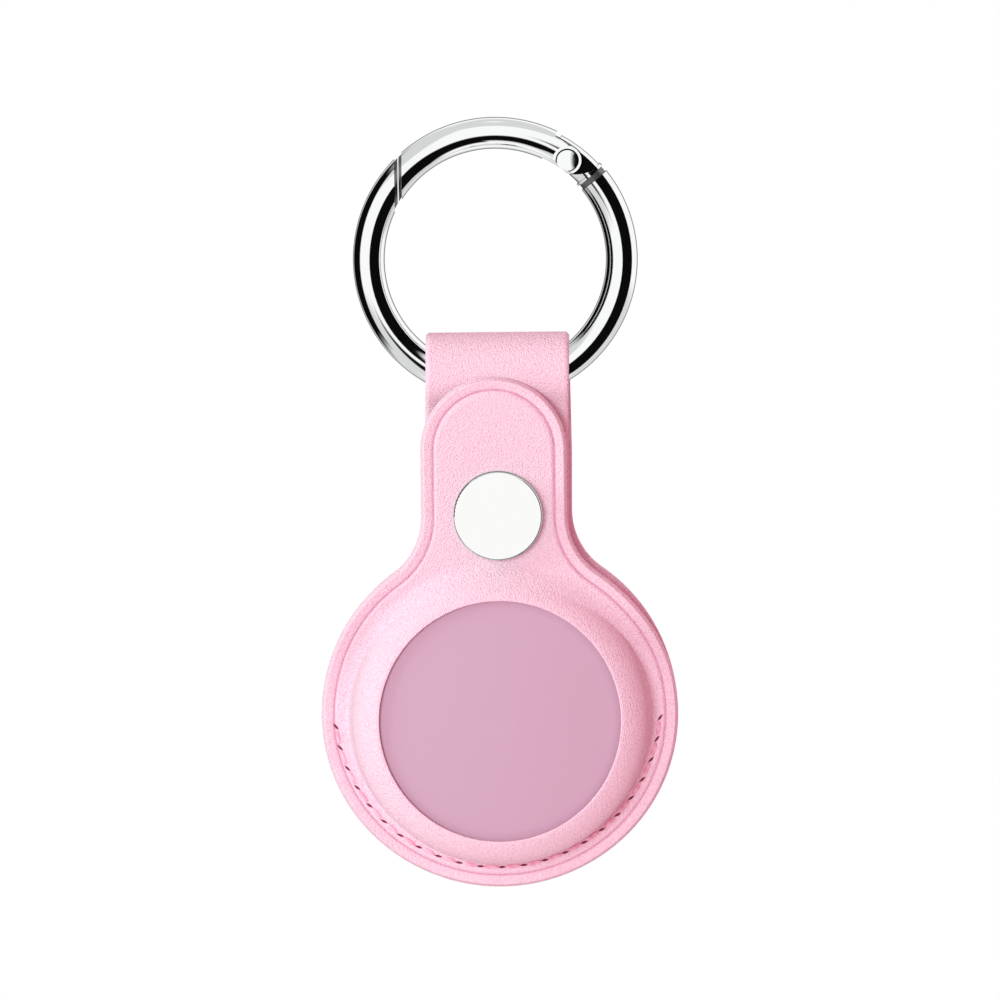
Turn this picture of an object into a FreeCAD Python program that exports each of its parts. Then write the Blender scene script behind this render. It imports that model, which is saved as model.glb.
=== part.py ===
import FreeCAD, Part
import math
import os

# Tracker tag holder: a keyhole-shaped leather pouch with a round window, folded over a spring-gate ring.
# Millimetres and degrees. X runs right, Z runs up and the front faces -Y.
# The origin is the centre of the ring. Y = 0 is the plane where the front and back panels meet.
# Angles on the ring count anticlockwise from +X, seen from the front.

V = FreeCAD.Vector

# Shared
overrun = 1.0  # how far a cutting tool runs past the face that it cuts
running_gap = 0.05  # between a pin or rod and its hole
seat_gap = 0.02  # between fixed metal pieces that fit in each other

# Ring wire
ring_bore_d = 25.0
ring_wire_d = 3.6
gate_cut_angle = 139.6  # where the gate's free end meets the body
gate_cut_gap = 0.12
gate_land_w = 0.35  # stepped land on each side of that cut
gate_land_depth = 0.18
collar_angle = 42.1  # where the round wire ends at the hinge
collar_flange_w = 0.3  # of full wire between that end and the groove round it
collar_groove_w = 0.7
collar_groove_depth = 0.2
clear_angle = 2.0  # how far a cutting ring runs past the stretch that it cuts

# Gate hinge
pin_angle = 53.7
pin_inset = 0.4  # of the pin, inward from the middle of the wire
pin_d = 1.3
pin_head_d = 2.34
pin_head_t = 0.42
pin_crown = 0.05  # height of the crowned head over its edge
pin_seat_d = 2.64  # of the sunk seat round the pin's head
pin_seat_depth = 0.12
notch_angle = 63.7  # where the gate's back steps down to its fork
notch_open_angle = 2.4  # of open notch between that step and the body's lip
hinge_cutback = 0.6  # depth of that step
fork_width = 2.7  # across the flats of the fork
fork_end_r = 1.6
fork_slot_run = 2.4
tongue_t = 1.3
tongue_side_gap = 0.1
tongue_inset = 0.3  # of the tongue's inner edge, from the inside of the wire
tongue_root_angle = 6.0  # of tongue inside the round wire
lip_gap = 0.12  # between the fork and the body's lip round it
lip_drop = 0.2  # of the lip's outer face, below the wire's
hollow_r = 4.25  # round hollow in the lip, beside the tongue
hollow_right = 0.84  # of its centre, from the pin
hollow_up = 2.62
cam_reach = 1.25  # from the pin to the face that the plunger bears on
cam_offset = 0.5  # of the plunger's line, inward from the pin
gate_travel_angle = 40.0
cam_spare_angle = 6.0  # of cam past the gate's travel
plunger_d = 1.1
plunger_len = 2.6
plunger_gap = 0.04  # between the plunger and the cam
spring_len = 2.6
spring_wire_d = 0.22

# Leather and its backing
leather_t = 0.7
lining_t = 0.25
glue_line = 0.04  # between two linings that are glued together

# Tag in the pocket
tag_d = 31.9
tag_t = 8.0
tag_crown = 0.6  # height of the crowned face over its edge
tag_edge_r = 3.6
tag_back_r = 1.1
tag_wall = 1.0
tag_gap = 0.12  # between the tag and the back lining
pocket_gap = 0.12  # between the tag and the front lining
dome_share = 0.7  # of the front's thickness, left where it is stretched over the tag
cover_rim_w = 2.95  # of shell round the cover
cover_t = 1.3
cover_gap = 0.08
lip_t = 0.6  # shell lip over the cover's lugs
lug_t = 0.5
lug_reach = 0.65
lug_count = 3
lug_angle = 16.0
lug_slot_angle = 22.0
cover_twist_angle = 22.0
grip_d = 3.2  # finger dimples in the cover
grip_depth = 0.3
grip_share = 0.62  # of the cover's radius, to the dimples
cell_d = 20.0
cell_t = 3.2
cell_rim_t = 0.5
cell_rim_inset = 0.9
cell_gap = 0.3  # between cell and cover
board_t = 0.8
board_edge_gap = 0.1
board_hole_d = 6.0
contact_t = 0.5  # height of a contact between cell and board
contact_w = 1.6
contact_len = 4.0
contact_share = 0.55  # of the cell's radius, to the contacts
speaker_depth = 0.9  # hollow in the shell in front of the board

# Pouch outline, seen from the front
panel_drop = 51.7  # of the pocket's centre, below the ring's centre
side_margin = 3.465  # from the dome to the panel's edge, at the sides
foot_margin = 3.0  # from the dome to the panel's edge, at the bottom
shoulder_r = 8.0
flap_neck_half = 8.25
flap_neck_skew = -0.42  # of the flap's tab, off the centre line
flap_arch_rise = 30.5  # of the arch's centre, above the pocket's centre
strap_half = 8.1
strap_skew = 0.15  # of the strap, off the centre line
window_d = 27.3

# Strap loop over the ring
loop_gap = 0.12  # between the swinging wire and the loop
strap_blend_r = 10.0  # where the folded strap comes together under the loop
strap_tail = 5.2  # of the folded end, below the snap

# Flap
flap_clear = 0.3  # between the flap and the front of the loop
bend_rise = 0.6  # of the line where the flap bends, above the pocket's centre
bend_slit = 0.2
ramp_rise = 16.5  # of the end of the flap's slope, above the pocket's centre

# Snap fastener
snap_drop = 28.5  # below the ring's centre
cap_d = 10.0
cap_t = 1.7
cap_round = 0.15
cap_post_d = 2.4
socket_d = 9.6
socket_flange_t = 0.5
socket_barrel_d = 7.0
socket_bore_d = 4.9
socket_mouth_d = 4.7
socket_floor_t = 0.6
socket_lip_t = 0.25
snap_spring_wire_d = 0.4
snap_spring_mid_d = 3.95
snap_spring_split = 50.0
stud_flange_d = 8.6
stud_flange_t = 0.5
stud_neck_d = 3.1
stud_head_d = 3.6
stud_head_t = 0.9
stud_head_round = 0.35
snap_lift = 0.3  # between the socket's lip and the stud's flange
post_d = 2.2
post_flange_d = 9.0
post_flange_t = 0.7
post_flange_round = 0.4

# Stitching
stitch_margin = 1.73  # of the seam's radius, over the dome's
stitch_rise = 1.05  # of the seam's centre, above the pocket's centre
stitch_skew = -0.27  # of the seam's centre, off the centre line
stitch_holes = 23
seam_right_angle = 4.9  # from level down to the first hole
seam_left_angle = 7.0  # from level down to the last hole
thread_d = 0.5
hole_d = 0.56

# Sizes that follow from those above
ring_mid_r = (ring_bore_d + ring_wire_d) / 2
ring_out_r = ring_bore_d / 2 + ring_wire_d
wire_r = ring_wire_d / 2
gate_cut_x = ring_mid_r * math.cos(math.radians(gate_cut_angle))
wall = leather_t + lining_t
fold_face = glue_line / 2 + wall  # outer face of the back, and of the folded strap in front
tag_r = tag_d / 2
cover_d = tag_d - 2 * cover_rim_w
pocket_r = tag_r + pocket_gap
dome_out_r = pocket_r + wall * dome_share
panel_half = dome_out_r + side_margin  # half the width at the pocket
panel_foot = dome_out_r + foot_margin  # from the pocket's centre to the bottom edge
stitch_r = dome_out_r + stitch_margin
pocket_round = tag_edge_r + pocket_gap
tag_rim_depth = tag_gap + tag_t - tag_crown
pocket_depth = tag_rim_depth + pocket_gap
panel_z = -panel_drop
snap_z = -snap_drop
loop_edge = strap_half + abs(strap_skew)
wire_top_z = -math.sqrt(ring_bore_d**2 / 4 - loop_edge**2)  # of the wire at the strap's edge
loop_z = (wire_top_z - ring_out_r) / 2
loop_r = (wire_top_z + ring_out_r) / 2 + loop_gap
neck_depth = loop_r + wall + flap_clear
bend_z = panel_z + bend_rise


def on_ring(radius, angle):
    turn = math.radians(angle)
    return V(radius * math.cos(turn), 0, radius * math.sin(turn))


def cylinder_y(radius, y_from, y_to, x=0, z=0):
    return Part.makeCylinder(radius, y_to - y_from, V(x, y_from, z), V(0, 1, 0))


def block(x_from, x_to, y_from, y_to, z_from, z_to):
    return Part.makeBox(x_to - x_from, y_to - y_from, z_to - z_from, V(x_from, y_from, z_from))


def filled(edges):
    return Part.Face(Part.Wire(Part.__sortEdges__(edges)))


def line(start, end):
    return Part.LineSegment(start, end).toShape()


def arc(start, middle, end):
    return Part.Arc(start, middle, end).toShape()


def polygon(points):
    return Part.Face(Part.makePolygon(points + points[:1]))


def across(face, thickness):
    # A flat shape in the plane Y = 0, made into a plate about that plane.
    plate = face.copy()
    plate.translate(V(0, -thickness / 2, 0))
    return plate.extrude(V(0, thickness, 0))


def flat_rims(disc):
    # The round edges of a disc whose axis runs along Y.
    return [edge for edge in disc.Edges if edge.BoundBox.YLength < running_gap]


def turned(points, z):
    # A solid of revolution about a line along Y, from (radius, y) corners.
    corners = [V(radius, y, z) for radius, y in points]
    return polygon(corners).revolve(V(0, 0, z), V(0, 1, 0), 360)


def wire_sector(radius, start, end):
    # A stretch of round wire along the ring's circle.
    turn = math.radians(start)
    tangent = V(-math.sin(turn), 0, math.cos(turn))
    section = Part.Circle(on_ring(ring_mid_r, start), tangent, radius).toShape()
    return Part.Face(Part.Wire(section)).revolve(V(0, 0, 0), V(0, -1, 0), end - start)


def ring_plate(r_in, r_out, start, end, thickness):
    # A flat plate between two radii of the ring.
    middle = (start + end) / 2
    edges = [
        arc(on_ring(r_out, start), on_ring(r_out, middle), on_ring(r_out, end)),
        line(on_ring(r_out, end), on_ring(r_in, end)),
        arc(on_ring(r_in, end), on_ring(r_in, middle), on_ring(r_in, start)),
        line(on_ring(r_in, start), on_ring(r_out, start)),
    ]
    return across(filled(edges), thickness)


# Frame of the gate's hinge: along the gate from the pin, and inward to the ring's centre.
cam_arc_angle = gate_travel_angle + cam_spare_angle
pin_centre = on_ring(ring_mid_r - pin_inset, pin_angle)
pin_turn = math.radians(pin_angle)
gate_along = V(-math.sin(pin_turn), 0, math.cos(pin_turn))
gate_inward = V(-math.cos(pin_turn), 0, -math.sin(pin_turn))


def at_hinge(along, inward, y=0):
    return pin_centre + gate_along * along + gate_inward * inward + V(0, y, 0)


def hinge_block(along_from, along_to, inward_from, inward_to, y_from, y_to):
    corners = [
        at_hinge(along_from, inward_from, y_from),
        at_hinge(along_to, inward_from, y_from),
        at_hinge(along_to, inward_to, y_from),
        at_hinge(along_from, inward_to, y_from),
    ]
    return polygon(corners).extrude(V(0, y_to - y_from, 0))


def cam_point(angle):
    # An involute: opening the gate by this angle pushes the plunger back evenly.
    turn = math.radians(angle)
    reach = cam_reach + cam_offset * turn
    along = reach * math.cos(turn) - cam_offset * math.sin(turn)
    inward = reach * math.sin(turn) + cam_offset * math.cos(turn)
    return at_hinge(along, inward)


def cut_land(side):
    # What is taken off the wire beside the gate's cut, to leave a stepped land.
    face_x = gate_cut_x + side * gate_cut_gap / 2
    land_x = face_x + side * gate_land_w
    slab = block(
        min(face_x, land_x), max(face_x, land_x), -ring_wire_d, ring_wire_d, 0, ring_out_r + overrun
    )
    core = wire_sector(wire_r - gate_land_depth, 90, 180)
    return slab.cut(core)


def ring_body():
    past_cut = gate_cut_angle - 2 * (gate_cut_angle - 90) / 3
    body = wire_sector(wire_r, past_cut, 360 + collar_angle)
    face_x = gate_cut_x - gate_cut_gap / 2
    body = body.cut(block(face_x, 0, -ring_wire_d, ring_wire_d, 0, ring_out_r + overrun))
    body = body.cut(cut_land(-1))
    groove_end = collar_angle - math.degrees(collar_flange_w / ring_mid_r)
    groove_start = groove_end - math.degrees(collar_groove_w / ring_mid_r)
    sleeve = wire_sector(wire_r + overrun, groove_start, groove_end)
    core = wire_sector(wire_r - collar_groove_depth, groove_start - clear_angle, groove_end + clear_angle)
    body = body.cut(sleeve.cut(core)).fuse(hinge_lip())
    root = collar_angle - tongue_root_angle
    tip = 2 * pin_angle - collar_angle
    tongue = ring_plate(
        ring_bore_d / 2 + tongue_inset, ring_out_r - hinge_cutback, root, tip, tongue_t
    )
    return body.fuse(tongue.cut(cam_cutter())).cut(
        cylinder_y(pin_d / 2 + seat_gap, -tongue_t, tongue_t, pin_centre.x, pin_centre.z)
    ).removeSplitter()


def hinge_lip():
    # The wire's outer side, run on past its end and round the fork, and hollowed beside the tongue.
    reach = fork_end_r + lip_gap
    span = ring_wire_d * 2
    lip = wire_sector(wire_r - lip_drop, collar_angle - clear_angle / 2, notch_angle - notch_open_angle)
    lip = lip.cut(cylinder_y(reach, -ring_wire_d, ring_wire_d, pin_centre.x, pin_centre.z))
    inside_r = ring_bore_d / 2 - overrun
    lip = lip.cut(ring_plate(inside_r, ring_mid_r - pin_inset + reach, pin_angle, notch_angle, span))
    bowl = cylinder_y(
        hollow_r, -ring_wire_d, ring_wire_d, pin_centre.x + hollow_right, pin_centre.z + hollow_up
    )
    hollow = ring_plate(inside_r, ring_out_r - hinge_cutback, collar_angle, notch_angle, span)
    return lip.cut(bowl.common(hollow))


def cam_cutter():
    # Everything past the tongue's end: a flat face, then the cam's curve on the inner side.
    start = cam_point(0)
    end = cam_point(cam_arc_angle)
    leave = (end - cam_point(cam_arc_angle / 2)).normalize() * ring_wire_d
    outer = at_hinge(cam_reach, -ring_wire_d)
    far = ring_wire_d * 2
    edges = [
        line(outer, start),
        arc(start, cam_point(cam_arc_angle / 2), end),
        line(end, end + leave),
        line(end + leave, at_hinge(far, far)),
        line(at_hinge(far, far), at_hinge(far, -ring_wire_d)),
        line(at_hinge(far, -ring_wire_d), outer),
    ]
    return across(filled(edges), tongue_t + overrun)


def gate_bore_start():
    return cam_reach + plunger_gap


def gate_bore_end():
    return gate_bore_start() + plunger_len + spring_len


def rod_along_gate(radius, start, end):
    return Part.makeCylinder(radius, end - start, at_hinge(start, cam_offset), gate_along)


def ring_gate():
    far = ring_wire_d * 2
    gate = wire_sector(wire_r, collar_angle, 180)
    face_x = gate_cut_x + gate_cut_gap / 2
    gate = gate.cut(block(-ring_out_r - overrun, face_x, -ring_wire_d, ring_wire_d, -overrun, ring_out_r))
    gate = gate.cut(cut_land(1))
    end_round = cylinder_y(fork_end_r, -ring_wire_d, ring_wire_d, pin_centre.x, pin_centre.z)
    gate = gate.cut(hinge_block(-far, 0, -far, far, -ring_wire_d, ring_wire_d).cut(end_round))
    step = ring_plate(
        ring_out_r - hinge_cutback, ring_out_r + overrun, collar_angle, notch_angle, ring_wire_d * 2
    )
    gate = gate.cut(step)
    for side in (-1, 1):
        cheek = fork_width / 2
        for radius, depth in ((fork_end_r + running_gap, cheek), (pin_seat_d / 2, cheek - pin_seat_depth)):
            span = sorted((side * depth, side * ring_wire_d))
            gate = gate.cut(cylinder_y(radius, span[0], span[1], pin_centre.x, pin_centre.z))
    slot = tongue_t / 2 + tongue_side_gap
    gate = gate.cut(hinge_block(-far, fork_slot_run, -far, far, -slot, slot))
    gate = gate.cut(rod_along_gate(plunger_d / 2 + running_gap, 0, gate_bore_end()))
    pin_hole = cylinder_y(pin_d / 2 + running_gap, -ring_wire_d, ring_wire_d, pin_centre.x, pin_centre.z)
    return gate.cut(pin_hole)


def gate_pin():
    seat = fork_width / 2 - pin_seat_depth + running_gap
    pin = cylinder_y(pin_d / 2, -seat, seat, pin_centre.x, pin_centre.z)
    crown_r = (pin_head_d**2 / 4 + pin_crown**2) / (2 * pin_crown)
    for side in (-1, 1):
        span = sorted((side * seat, side * (seat + pin_head_t + pin_crown)))
        head = cylinder_y(pin_head_d / 2, span[0], span[1], pin_centre.x, pin_centre.z)
        middle = side * (seat + pin_head_t + pin_crown - crown_r)
        pin = pin.fuse(head.common(Part.makeSphere(crown_r, V(pin_centre.x, middle, pin_centre.z))))
    return pin.removeSplitter()


def gate_plunger():
    return rod_along_gate(plunger_d / 2, gate_bore_start(), gate_bore_start() + plunger_len)


def gate_spring():
    start = gate_bore_start() + plunger_len
    tube = rod_along_gate(plunger_d / 2, start, gate_bore_end())
    return tube.cut(rod_along_gate(plunger_d / 2 - spring_wire_d, start, gate_bore_end()))


def panel_corner(side, half, inset, neck):
    # The shoulder on one side: where it leaves the round, its middle, and where it meets the neck.
    fillet = shoulder_r + inset
    centre_x = neck + fillet
    rise = math.sqrt((half + fillet) ** 2 - centre_x**2)
    centre = V(side * centre_x, 0, panel_z + rise)
    to_round = V(-side * centre_x, 0, -rise).normalize()
    to_neck = V(-side, 0, 0)
    middle = (to_round + to_neck).normalize()
    return centre + to_round * fillet, centre + middle * fillet, centre + to_neck * fillet


def panel_lower():
    # The lower half of the outline: a side arc, the bottom arc and a side arc, all tangent.
    eighth = math.tan(math.radians(22.5))
    side_r = (panel_foot - eighth * panel_half) / (1 - eighth)
    diagonal = math.sqrt(0.5)
    side_x = panel_half - side_r
    join = V(side_x + side_r * diagonal, 0, panel_z - side_r * diagonal)
    bulge = math.radians(22.5)
    side_mid = V(side_x + side_r * math.cos(bulge), 0, panel_z - side_r * math.sin(bulge))
    mirror = lambda p: V(-p.x, p.y, p.z)
    return [
        arc(V(panel_half, 0, panel_z), side_mid, join),
        arc(join, V(0, 0, panel_z - panel_foot), mirror(join)),
        arc(mirror(join), mirror(side_mid), V(-panel_half, 0, panel_z)),
    ]


def panel_outline(neck_half, skew, top_z, arched):
    # The keyhole: a round lower part and a neck that ends in an arch or in a straight line.
    edges = panel_lower()
    ends = []
    for side in (1, -1):
        leave, middle, meet = panel_corner(side, panel_half, 0, neck_half + side * skew)
        rise = (leave - V(0, 0, panel_z)).normalize()
        half_way = (rise + V(side, 0, 0)).normalize() * panel_half + V(0, 0, panel_z)
        edges.append(arc(V(side * panel_half, 0, panel_z), half_way, leave))
        edges.append(arc(leave, middle, meet))
        top = V(meet.x, 0, top_z)
        edges.append(line(meet, top))
        ends.append(top)
    if arched:
        edges.append(arc(ends[0], V(skew, 0, top_z + neck_half), ends[1]))
    else:
        edges.append(line(ends[0], ends[1]))
    return filled(edges)


def through_y(face):
    # A flat outline, run through the whole depth of the pouch.
    depth = pocket_depth + wall + overrun
    tool = face.copy()
    tool.translate(V(0, -depth, 0))
    return tool.extrude(V(0, depth + wall + overrun, 0))


def behind_front(offset):
    # The space behind a sheet of the front: flat at the stitched half, then sloping out to the neck.
    low = panel_z - panel_foot - overrun
    high = panel_z + flap_arch_rise + flap_neck_half + overrun
    ramp_end = panel_z + ramp_rise
    run = ramp_end - bend_z
    turn = 2 * math.atan(neck_depth / run)
    bend_r = run / (2 * math.sin(turn))
    first_r = bend_r - offset
    second_r = bend_r + offset
    near = V(0, -bend_r, bend_z)
    far = V(0, bend_r - neck_depth, ramp_end)

    def on_arc(centre, radius, angle):
        return centre + V(0, radius * math.cos(angle), radius * math.sin(angle))

    back_low = V(0, overrun, low)
    back_high = V(0, overrun, high)
    meet = on_arc(near, first_r, turn)
    edges = [
        line(back_low, V(0, -offset, low)),
        line(V(0, -offset, low), V(0, -offset, bend_z)),
        arc(V(0, -offset, bend_z), on_arc(near, first_r, turn / 2), meet),
        arc(meet, on_arc(far, second_r, math.pi + turn / 2), V(0, -neck_depth - offset, ramp_end)),
        line(V(0, -neck_depth - offset, ramp_end), V(0, -neck_depth - offset, high)),
        line(V(0, -neck_depth - offset, high), back_high),
        line(back_high, back_low),
    ]
    half = panel_half + overrun
    space = filled(edges)
    space.translate(V(-half, 0, 0))
    return space.extrude(V(2 * half, 0, 0))


def dome(offset):
    # The pocket's round bulge over the tag, grown by an offset that is stretched thin.
    grown = offset * dome_share
    radius = pocket_r + grown
    round_r = pocket_round + grown
    depth = pocket_depth + grown
    centre = V(pocket_r - pocket_round, -pocket_depth + pocket_round, panel_z)
    corner = math.sqrt(0.5) * round_r
    wall_top = V(radius, centre.y, panel_z)
    crest = V(centre.x, -depth, panel_z)
    edges = [
        line(V(0, overrun, panel_z), V(radius, overrun, panel_z)),
        line(V(radius, overrun, panel_z), wall_top),
        arc(wall_top, V(centre.x + corner, centre.y - corner, panel_z), crest),
        line(crest, V(0, -depth, panel_z)),
        line(V(0, -depth, panel_z), V(0, overrun, panel_z)),
    ]
    return filled(edges).revolve(V(0, 0, panel_z), V(0, 1, 0), 360)


def front_sheet(inner, outer):
    # One layer of the front, between two offsets from its inner face.
    arch_z = panel_z + flap_arch_rise
    outline = through_y(panel_outline(flap_neck_half, flap_neck_skew, arch_z, True))
    sheet = behind_front(outer).common(outline).fuse(dome(outer))
    sheet = sheet.cut(behind_front(inner)).cut(dome(inner))
    window = cylinder_y(window_d / 2, -pocket_depth - wall - overrun, overrun, 0, panel_z)
    return sheet.cut(window).removeSplitter()


def below_bend(sheet):
    depth = pocket_depth + wall + overrun
    half = panel_half + overrun
    low = panel_z - panel_foot - overrun
    return sheet.common(block(-half, half, -depth, overrun, low, bend_z - bend_slit / 2))


def above_bend(sheet):
    depth = pocket_depth + wall + overrun
    half = panel_half + overrun
    high = panel_z + flap_arch_rise + flap_neck_half + overrun
    return sheet.common(block(-half, half, -depth, overrun, bend_z + bend_slit / 2, high))


def stitch_places():
    # Even steps round the seam's arc, from the right end under the pocket to the left end.
    sweep = 180 - seam_right_angle - seam_left_angle
    places = []
    for index in range(stitch_holes):
        angle = math.radians(seam_right_angle + sweep * index / (stitch_holes - 1))
        x = stitch_skew + stitch_r * math.cos(angle)
        places.append(V(x, 0, panel_z + stitch_rise - stitch_r * math.sin(angle)))
    return places


def punched(sheet, y_from, y_to):
    for place in stitch_places():
        sheet = sheet.cut(cylinder_y(hole_d / 2, y_from, y_to, place.x, place.z))
    return sheet


def thread(side):
    # One continuous thread: a bar from each hole to the next, and a leg down each hole to the middle.
    face = fold_face if side > 0 else wall
    level = side * (face + thread_d / 2)
    radius = thread_d / 2
    places = [V(place.x, level, place.z) for place in stitch_places()]
    pieces = []
    for place in places:
        span = sorted((0, level))
        pieces.append(cylinder_y(radius, span[0], span[1], place.x, place.z))
        pieces.append(Part.makeSphere(radius, place))
    for start, end in zip(places, places[1:]):
        run = end - start
        pieces.append(Part.makeCylinder(radius, run.Length, start, run))
    return pieces[0].multiFuse(pieces[1:]).removeSplitter()


def strap_sheet(inner, outer):
    # One layer of the back: flat panel, up and over the ring, then down in front to the strap's end.
    # Offsets count outward from the faces that meet in the middle of the folded strap.
    drop = math.sqrt(loop_r * (2 * strap_blend_r + loop_r))
    blend_z = loop_z - drop
    tail_z = snap_z - strap_tail
    lean = math.atan2(drop, strap_blend_r)

    def loop_point(offset, angle):
        radius = loop_r + offset
        return V(0, radius * math.cos(angle), loop_z + radius * math.sin(angle))

    def blend_point(offset, side, angle):
        radius = strap_blend_r - offset
        centre_y = side * strap_blend_r
        return V(0, centre_y - side * radius * math.cos(angle), blend_z + radius * math.sin(angle))

    def rim(offset):
        # The curve from the middle of the back's neck over the loop to the strap's end.
        back = blend_point(offset, 1, lean)
        front = blend_point(offset, -1, lean)
        return [
            arc(V(0, offset, blend_z), blend_point(offset, 1, lean / 2), back),
            arc(back, loop_point(offset, math.pi / 2), front),
            arc(front, blend_point(offset, -1, lean / 2), V(0, -offset, blend_z)),
            line(V(0, -offset, blend_z), V(0, -offset, tail_z)),
        ]

    ends = [
        line(V(0, inner, blend_z), V(0, outer, blend_z)),
        line(V(0, -inner, tail_z), V(0, -outer, tail_z)),
    ]
    fold = filled(rim(inner) + rim(outer) + ends)
    fold.translate(V(strap_skew - strap_half, 0, 0))
    fold = fold.extrude(V(2 * strap_half, 0, 0))
    panel = panel_outline(strap_half, strap_skew, blend_z, False)
    panel.translate(V(0, inner, 0))
    return panel.extrude(V(0, outer - inner, 0)).fuse(fold).removeSplitter()


def snap_hole(sheet, diameter):
    depth = neck_depth + wall + overrun
    hole = cylinder_y(diameter / 2 + seat_gap, -depth, wall + overrun, 0, snap_z)
    return sheet.cut(hole)


def back_sheet(inner, outer):
    sheet = strap_sheet(glue_line / 2 + inner, glue_line / 2 + outer)
    return snap_hole(punched(sheet, -overrun, fold_face + overrun), post_d)


def snap_cap():
    # A drawn cap with a rolled edge and a hollow back, and the post that holds the socket.
    seat = -neck_depth - wall
    top = seat - cap_t
    disc = cylinder_y(cap_d / 2, top, seat, 0, snap_z)
    rim = [e for e in flat_rims(disc) if e.BoundBox.YMin < seat - cap_t / 2]
    disc = disc.makeFillet(cap_round, rim)
    post = cylinder_y(cap_post_d / 2, seat, -neck_depth + socket_floor_t, 0, snap_z)
    return disc.fuse(post).removeSplitter()


def socket_lip_y():
    return -fold_face - stud_flange_t - snap_lift


def snap_socket():
    face = -neck_depth
    lip = socket_lip_y()
    return turned(
        [
            (cap_post_d / 2 + seat_gap, face),
            (socket_d / 2, face),
            (socket_d / 2, face + socket_flange_t),
            (socket_barrel_d / 2, face + socket_flange_t),
            (socket_barrel_d / 2, lip),
            (socket_mouth_d / 2, lip),
            (socket_mouth_d / 2, lip - socket_lip_t),
            (socket_bore_d / 2, lip - socket_lip_t),
            (socket_bore_d / 2, face + socket_floor_t),
            (cap_post_d / 2 + seat_gap, face + socket_floor_t),
        ],
        snap_z,
    )


def snap_spring():
    # A split wire ring just inside the socket's lip, behind the stud's head.
    level = socket_lip_y() - socket_lip_t - snap_spring_wire_d / 2
    start = V(snap_spring_mid_d / 2, level, snap_z)
    section = Part.Wire(Part.Circle(start, V(0, 0, 1), snap_spring_wire_d / 2).toShape())
    return Part.Face(section).revolve(V(0, level, snap_z), V(0, 1, 0), 360 - snap_spring_split)


def snap_stud():
    seat = -fold_face
    flange = seat - stud_flange_t
    neck_end = socket_lip_y() - socket_lip_t - snap_spring_wire_d
    top = neck_end - stud_head_t
    bore = seat - stud_flange_t - stud_head_t
    return turned(
        [
            (0, bore),
            (post_d / 2 + seat_gap, bore),
            (post_d / 2 + seat_gap, seat),
            (stud_flange_d / 2, seat),
            (stud_flange_d / 2, flange),
            (stud_neck_d / 2, flange),
            (stud_neck_d / 2, neck_end),
            (stud_head_d / 2, neck_end - stud_head_t / 3),
            (stud_head_d / 2, top + stud_head_round),
            (stud_head_d / 2 - stud_head_round, top),
            (0, top),
        ],
        snap_z,
    )


def snap_post():
    bore = -fold_face - stud_flange_t - stud_head_t
    flange = cylinder_y(post_flange_d / 2, fold_face, fold_face + post_flange_t, 0, snap_z)
    rim = [e for e in flat_rims(flange) if e.BoundBox.YMin > fold_face + post_flange_t / 2]
    flange = flange.makeFillet(post_flange_round, rim)
    return flange.fuse(cylinder_y(post_d / 2, bore, fold_face, 0, snap_z)).removeSplitter()


def tag_outside():
    # The tag's outer form: a rounded coin with a gently crowned face.
    back = -tag_gap
    edge_x = tag_r - tag_edge_r
    edge_y = -tag_rim_depth + tag_edge_r
    rim = V(edge_x, -tag_rim_depth, panel_z)
    crown = V(0, -tag_gap - tag_t, panel_z)
    corner = math.sqrt(0.5)
    crown_r = (edge_x**2 + tag_crown**2) / (2 * tag_crown)
    half_turn = math.asin(edge_x / crown_r) / 2
    crown_mid = V(
        crown_r * math.sin(half_turn), crown.y + crown_r * (1 - math.cos(half_turn)), panel_z
    )
    back_edge = V(tag_r - tag_back_r, back, panel_z)
    back_mid = V(tag_r - tag_back_r * (1 - corner), back - tag_back_r * (1 - corner), panel_z)
    side_low = V(tag_r, back - tag_back_r, panel_z)
    side_high = V(tag_r, edge_y, panel_z)
    front_mid = V(edge_x + tag_edge_r * corner, edge_y - tag_edge_r * corner, panel_z)
    edges = [
        line(V(0, back, panel_z), back_edge),
        arc(back_edge, back_mid, side_low),
        line(side_low, side_high),
        arc(side_high, front_mid, rim),
        arc(rim, crown_mid, crown),
        line(crown, V(0, back, panel_z)),
    ]
    return filled(edges).revolve(V(0, 0, panel_z), V(0, 1, 0), 360)


# Levels inside the tag, counted from its back
cover_back_y = -tag_gap
cell_back_y = cover_back_y - cover_t - cell_gap
cell_front_y = cell_back_y - cell_t
board_back_y = cell_front_y - contact_t
board_front_y = board_back_y - board_t
lug_back_y = cover_back_y - lip_t - cover_gap
lug_front_y = lug_back_y - lug_t


def lug_ring(radius, y_back, y_front, width_angle, centre_angle):
    # Equal sectors of a ring, one for each lug.
    sectors = []
    for index in range(lug_count):
        middle = centre_angle + index * 360 / lug_count
        sector = Part.makeCylinder(
            radius, y_back - y_front, V(0, y_front, panel_z), V(0, 1, 0), width_angle
        )
        sector.rotate(V(0, 0, panel_z), V(0, 1, 0), middle - width_angle / 2)
        sectors.append(sector)
    return sectors


def tag_shell():
    shell = tag_outside()
    bore = cover_d / 2 + cover_gap
    room = bore + lug_reach
    front = board_front_y
    shell = shell.cut(cylinder_y(bore, front, overrun, 0, panel_z))
    shell = shell.cut(cylinder_y(room, lug_front_y - cover_gap, lug_back_y + cover_gap, 0, panel_z))
    hollow_r = bore - tag_wall
    shell = shell.cut(cylinder_y(hollow_r, front - speaker_depth, front + overrun, 0, panel_z))
    for slot in lug_ring(room, overrun, lug_front_y, lug_slot_angle, cover_twist_angle):
        shell = shell.cut(slot)
    return shell


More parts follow.
